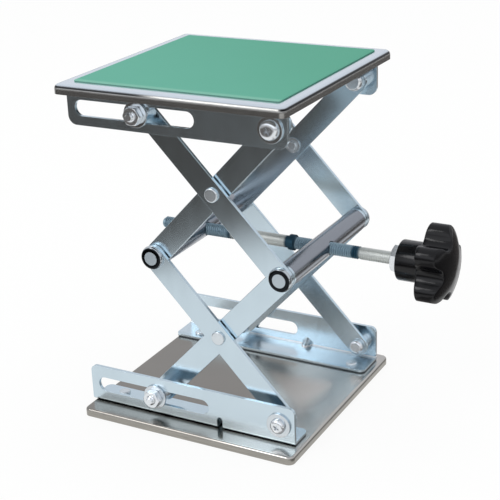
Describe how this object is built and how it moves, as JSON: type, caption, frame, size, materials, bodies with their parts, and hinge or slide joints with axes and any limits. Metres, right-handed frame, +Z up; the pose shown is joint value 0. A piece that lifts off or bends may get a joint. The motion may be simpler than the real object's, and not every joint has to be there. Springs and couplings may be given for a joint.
{
  "type": "lab jack",
  "caption": "Screw-driven scissor lab jack with a square steel base, a green-matted platform and a black five-lobed star knob on its lead screw",
  "frame": {"origin": "centre of the base plate, on the surface that the jack stands on", "axes": "+X along the lead screw towards the star knob, +Y to the rear, +Z up through the platform"},
  "size_m": [0.1505, 0.1024, 0.1484],
  "materials": {
    "steel_plate": "bright nickel plated sheet with soft reflections",
    "steel_bracket": "nickel plated folded sheet",
    "steel_arm": "nickel plated flat bar with bright sheared edges",
    "mat_green": "matt green non-slip mat",
    "rivet_steel": "plain steel rivet, low sheen",
    "fastener_steel": "bright plated fastener",
    "washer_steel": "bright turned and stamped steel",
    "bar_steel": "turned bar, bright",
    "cap_chrome": "polished domed cap",
    "screw_steel": "rolled thread, dark bright steel",
    "insert_brass": "knurled brass insert, hidden in the knob",
    "knob_black": "glossy black moulded plastic"
  },
  "bodies": {
    "base": {"base_plate": "steel_plate", "base_front_bracket": "steel_bracket", "base_rear_bracket": "steel_bracket", "base_bracket_rivets": "rivet_steel", "base_pivot_screws": "fastener_steel", "base_pivot_washers": "washer_steel", "base_pivot_spacers": "washer_steel", "base_pivot_sleeve_nuts": "washer_steel"},
    "lower_outer_arms": {"lower_outer_arm_front": "steel_arm", "lower_outer_arm_rear": "steel_arm", "lower_centre_rivets": "rivet_steel", "lower_centre_washers": "washer_steel"},
    "lower_inner_arms": {"lower_inner_arm_front": "steel_arm", "lower_inner_arm_rear": "steel_arm", "lower_slot_bolts": "fastener_steel", "lower_slot_bushes": "washer_steel", "lower_slot_washers": "washer_steel", "lower_slot_nuts": "fastener_steel"},
    "left_bar": {"left_cross_bar": "bar_steel", "left_bar_caps": "cap_chrome", "left_bar_washers": "washer_steel"},
    "right_bar": {"right_cross_bar": "bar_steel", "right_bar_caps": "cap_chrome", "right_bar_washers": "washer_steel"},
    "upper_inner_arms": {"upper_inner_arm_front": "steel_arm", "upper_inner_arm_rear": "steel_arm"},
    "upper_outer_arms": {"upper_outer_arm_front": "steel_arm", "upper_outer_arm_rear": "steel_arm", "upper_centre_rivets": "rivet_steel", "upper_centre_washers": "washer_steel", "upper_slot_bolts": "fastener_steel", "upper_slot_bushes": "washer_steel", "upper_slot_washers": "washer_steel", "upper_slot_nuts": "fastener_steel"},
    "platform": {"platform_plate": "steel_plate", "platform_mat": "mat_green", "platform_front_bracket": "steel_bracket", "platform_rear_bracket": "steel_bracket", "platform_bracket_rivets": "rivet_steel", "platform_pivot_screws": "fastener_steel", "platform_pivot_washers": "washer_steel", "platform_pivot_spacers": "washer_steel", "platform_pivot_sleeve_nuts": "washer_steel"},
    "collar": {"stop_collar": "screw_steel"},
    "screw": {"lead_screw": "screw_steel", "lock_nut": "fastener_steel", "knob_insert": "insert_brass", "star_knob": "knob_black"}
  },
  "joints": [
    {"name": "lift", "type": "hinge", "parent": "base", "child": "lower_outer_arms", "pos_m": [0.0405, 0.0014, 0.012], "axis": [0, 1, 0], "range_deg": [-39.3, 13]},
    {"name": "lower_cross", "type": "hinge", "parent": "lower_outer_arms", "child": "lower_inner_arms", "pos_m": [0.011, 0.0014, 0.04308], "axis": [0, 1, 0], "range_deg": [-26.1, 78.7]},
    {"name": "left_mid_pivot", "type": "hinge", "parent": "lower_outer_arms", "child": "left_bar", "pos_m": [-0.01849, 0.0014, 0.07416], "axis": [0, 1, 0], "range_deg": [-13.1, 39.4]},
    {"name": "left_fold", "type": "hinge", "parent": "lower_outer_arms", "child": "upper_inner_arms", "pos_m": [-0.01849, 0.0014, 0.07416], "axis": [0, 1, 0], "range_deg": [-26.1, 78.7]},
    {"name": "upper_cross", "type": "hinge", "parent": "upper_inner_arms", "child": "upper_outer_arms", "pos_m": [0.011, 0.0014, 0.10525], "axis": [0, 1, 0], "range_deg": [-78.7, 26.1]},
    {"name": "platform_pivot", "type": "hinge", "parent": "upper_inner_arms", "child": "platform", "pos_m": [0.0405, 0.0014, 0.13633], "axis": [0, 1, 0], "range_deg": [-39.4, 13.1]},
    {"name": "right_mid_pivot", "type": "hinge", "parent": "lower_inner_arms", "child": "right_bar", "pos_m": [0.0405, 0.0014, 0.07416], "axis": [0, 1, 0], "range_deg": [-39.4, 13.1]},
    {"name": "screw_travel", "type": "slide", "parent": "right_bar", "child": "collar", "axis": [1, 0, 0], "range_m": [-0.0157, 0.00526]},
    {"name": "knob_turn", "type": "hinge", "parent": "collar", "child": "screw", "pos_m": [0.0705, 0.0014, 0.07416], "axis": [1, 0, 0], "range_deg": [-1862.7, 5620.97]}
  ],
  "couplings": [
    {"joint": "lower_cross", "follows": "lift", "ratio": -2},
    {"joint": "left_mid_pivot", "follows": "lift", "ratio": -1},
    {"joint": "left_fold", "follows": "lift", "ratio": -2},
    {"joint": "upper_cross", "follows": "lift", "ratio": 2},
    {"joint": "platform_pivot", "follows": "lift", "ratio": 1},
    {"joint": "right_mid_pivot", "follows": "lift", "ratio": 1},
    {"joint": "screw_travel", "follows": "lift", "m_per_rad": 0.02275},
    {"joint": "knob_turn", "follows": "lift", "ratio": -142.9}
  ]
}
